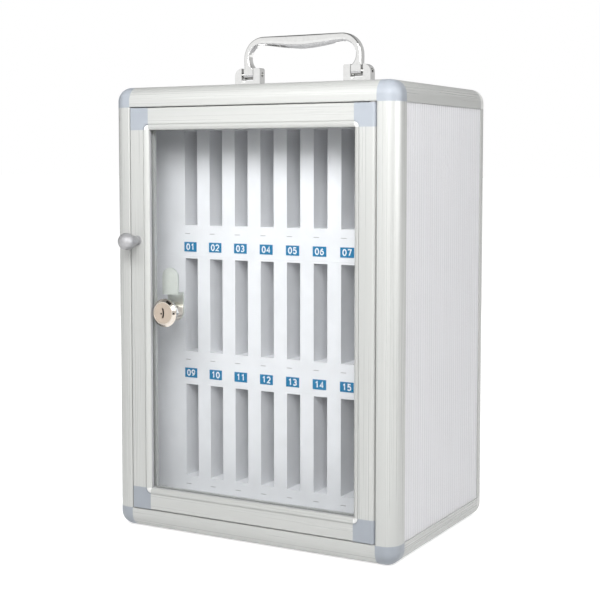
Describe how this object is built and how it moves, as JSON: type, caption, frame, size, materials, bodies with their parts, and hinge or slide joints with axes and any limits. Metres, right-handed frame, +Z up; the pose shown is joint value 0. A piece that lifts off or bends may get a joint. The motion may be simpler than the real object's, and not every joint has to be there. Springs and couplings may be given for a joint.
{
  "type": "cell phone locker box",
  "caption": "Upright aluminium-framed box with a hinged, lockable glass door, a white slotted rack for phones in tiers with numbered slots, and a folding carrying handle on top.",
  "frame": {"origin": "the centre of the base: on the plane the box stands on, midway across the frame and midway between its front and rear faces", "axes": "+X to the right as seen from the front, +Y to the rear, +Z up"},
  "size_m": [0.31, 0.2465, 0.4939],
  "materials": {
    "frame_aluminium": "satin anodised, finely drawn lengthwise",
    "corner_plastic": "satin, bluish grey",
    "rear_corner_plastic": "satin, light grey",
    "ribbed_sheet": "satin, with fine upright grooves",
    "white_board": "matt white board",
    "rack_plastic": "white, slightly glossy",
    "tag_blue": "printed label film",
    "plated_metal": "nickel plated, polished",
    "steel": "zinc plated",
    "bush_plastic": "moulded",
    "clear_glass": "clear",
    "black_rubber": "soft strip",
    "knob_metal": "turned, satin",
    "lock_nickel": "warm nickel, turned face",
    "plated_tongue": "pale plated"
  },
  "bodies": {
    "cabinet": {"post_front_left": "frame_aluminium", "post_front_right": "frame_aluminium", "post_rear_left": "frame_aluminium", "post_rear_right": "frame_aluminium", "rail_front_top": "frame_aluminium", "rail_front_bottom": "frame_aluminium", "rail_rear_top": "frame_aluminium", "rail_rear_bottom": "frame_aluminium", "rail_side_top_left": "frame_aluminium", "rail_side_top_right": "frame_aluminium", "rail_side_bottom_left": "frame_aluminium", "rail_side_bottom_right": "frame_aluminium", "corner_front_top_left": "corner_plastic", "corner_front_top_right": "corner_plastic", "corner_front_bottom_left": "corner_plastic", "corner_front_bottom_right": "corner_plastic", "corner_rear_top_left": "rear_corner_plastic", "corner_rear_top_right": "rear_corner_plastic", "corner_rear_bottom_left": "rear_corner_plastic", "corner_rear_bottom_right": "rear_corner_plastic", "panel_left": "ribbed_sheet", "panel_right": "ribbed_sheet", "panel_top": "ribbed_sheet", "panel_bottom": "white_board", "panel_back": "white_board", "floor_board": "white_board", "shelf_top": "rack_plastic", "shelf_middle": "rack_plastic", "shelf_bottom": "rack_plastic", "dividers_top": "rack_plastic", "dividers_middle": "rack_plastic", "dividers_bottom": "rack_plastic", "rack_covers": "rack_plastic", "number_tags": "tag_blue", "handle_brackets": "plated_metal", "handle_rivets": "steel", "handle_pins": "steel", "hinge_bushes": "bush_plastic"},
    "door": {"door_stile_left": "frame_aluminium", "door_stile_right": "frame_aluminium", "door_rail_top": "frame_aluminium", "door_rail_bottom": "frame_aluminium", "door_corner_top_left": "corner_plastic", "door_corner_top_right": "corner_plastic", "door_corner_bottom_left": "corner_plastic", "door_corner_bottom_right": "corner_plastic", "door_glass": "clear_glass", "door_gasket": "black_rubber", "hinge_pins": "steel", "door_knob": "knob_metal", "knob_screw": "steel", "lock_housing": "plated_metal", "lock_nut": "plated_metal"},
    "lock": {"lock_plug": "lock_nickel", "lock_tongue": "plated_tongue", "tongue_screw": "steel"},
    "handle": {"handle_grip": "plated_metal"}
  },
  "joints": [
    {"name": "door_hinge", "type": "hinge", "parent": "cabinet", "child": "door", "pos_m": [0.1307, -0.1065, 0.22], "axis": [0, 0, 1], "range_deg": [0, 105]},
    {"name": "lock_turn", "type": "hinge", "parent": "door", "child": "lock", "pos_m": [-0.0981, -0.104, 0.218], "axis": [0, -1, 0], "range_deg": [0, 90]},
    {"name": "handle_pivot", "type": "hinge", "parent": "cabinet", "child": "handle", "pos_m": [0, 0, 0.456], "axis": [1, 0, 0], "range_deg": [-85, 85]}
  ]
}
